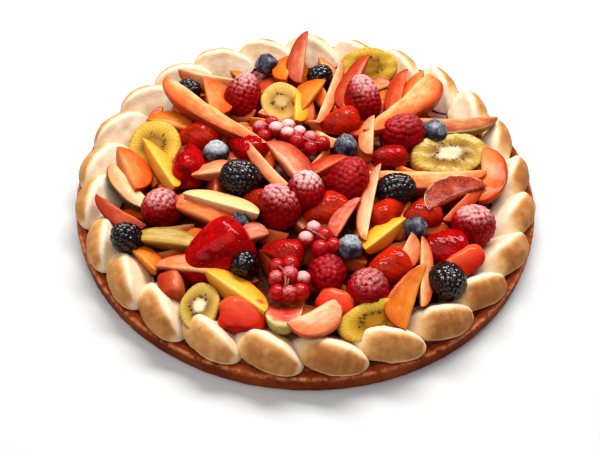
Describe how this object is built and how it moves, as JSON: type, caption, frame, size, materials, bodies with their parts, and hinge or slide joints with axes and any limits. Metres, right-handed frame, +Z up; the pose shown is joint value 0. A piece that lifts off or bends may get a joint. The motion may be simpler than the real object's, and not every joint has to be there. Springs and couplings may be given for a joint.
{
  "type": "fruit tart",
  "caption": "Round fruit tart: a shallow baked crust with a border of piped, toasted meringue petals around a heaped topping of mixed berries and cut fruit.",
  "frame": {"origin": "centre of the crust's flat underside", "axes": "+Z up out of the tart; -Y is the side towards the viewer"},
  "size_m": [0.28, 0.28, 0.0513],
  "materials": {
    "crust": "baked sweet pastry, brown, slightly rough",
    "filling": "moist filling under a fruit glaze",
    "meringue": "piped meringue, cream white, toasted tan on its outer faces",
    "raspberry": "fresh raspberry, soft sheen, dusted with fine sugar",
    "bramble": "near black glossy drupelets",
    "blueberry": "slate blue skin with a pale bloom",
    "currants": "translucent red berries, dusted with fine sugar",
    "strawberry": "cut strawberry under a clear glaze",
    "kiwi": "yellow green flesh, pale core, dark seeds, glazed",
    "peach": "glazed peach flesh, orange to red near the stone",
    "fig": "grainy pink flesh, pale rind, dark skin",
    "mango": "glazed yellow orange flesh",
    "melon": "pale cream flesh, glazed"
  },
  "bodies": {
    "root": {"blueberry_1": "blueberry", "blueberry_2": "blueberry", "blueberry_3": "blueberry", "blueberry_4": "blueberry", "blueberry_5": "blueberry", "blueberry_6": "blueberry", "blueberry_7": "blueberry", "bramble_1": "bramble", "bramble_2": "bramble", "bramble_3": "bramble", "bramble_4": "bramble", "bramble_5": "bramble", "bramble_6": "bramble", "bramble_7": "bramble", "crust": "crust", "currants_1": "currants", "currants_2": "currants", "currants_3": "currants", "fig_1": "fig", "fig_2": "fig", "filling": "filling", "kiwi_1": "kiwi", "kiwi_2": "kiwi", "kiwi_3": "kiwi", "kiwi_4": "kiwi", "kiwi_5": "kiwi", "kiwi_6": "kiwi", "mango_1": "mango", "mango_2": "mango", "mango_3": "mango", "melon_1": "melon", "meringue_border": "meringue", "peach_1": "peach", "peach_2": "peach", "peach_3": "peach", "peach_4": "peach", "peach_5": "peach", "peach_6": "peach", "peach_7": "peach", "raspberry_1": "raspberry", "raspberry_10": "raspberry", "raspberry_2": "raspberry", "raspberry_3": "raspberry", "raspberry_4": "raspberry", "raspberry_5": "raspberry", "raspberry_6": "raspberry", "raspberry_7": "raspberry", "raspberry_8": "raspberry", "raspberry_9": "raspberry", "strawberry_1": "strawberry", "strawberry_10": "strawberry", "strawberry_11": "strawberry", "strawberry_2": "strawberry", "strawberry_3": "strawberry", "strawberry_4": "strawberry", "strawberry_5": "strawberry", "strawberry_6": "strawberry", "strawberry_7": "strawberry", "strawberry_8": "strawberry", "strawberry_9": "strawberry"}
  },
  "joints": []
}
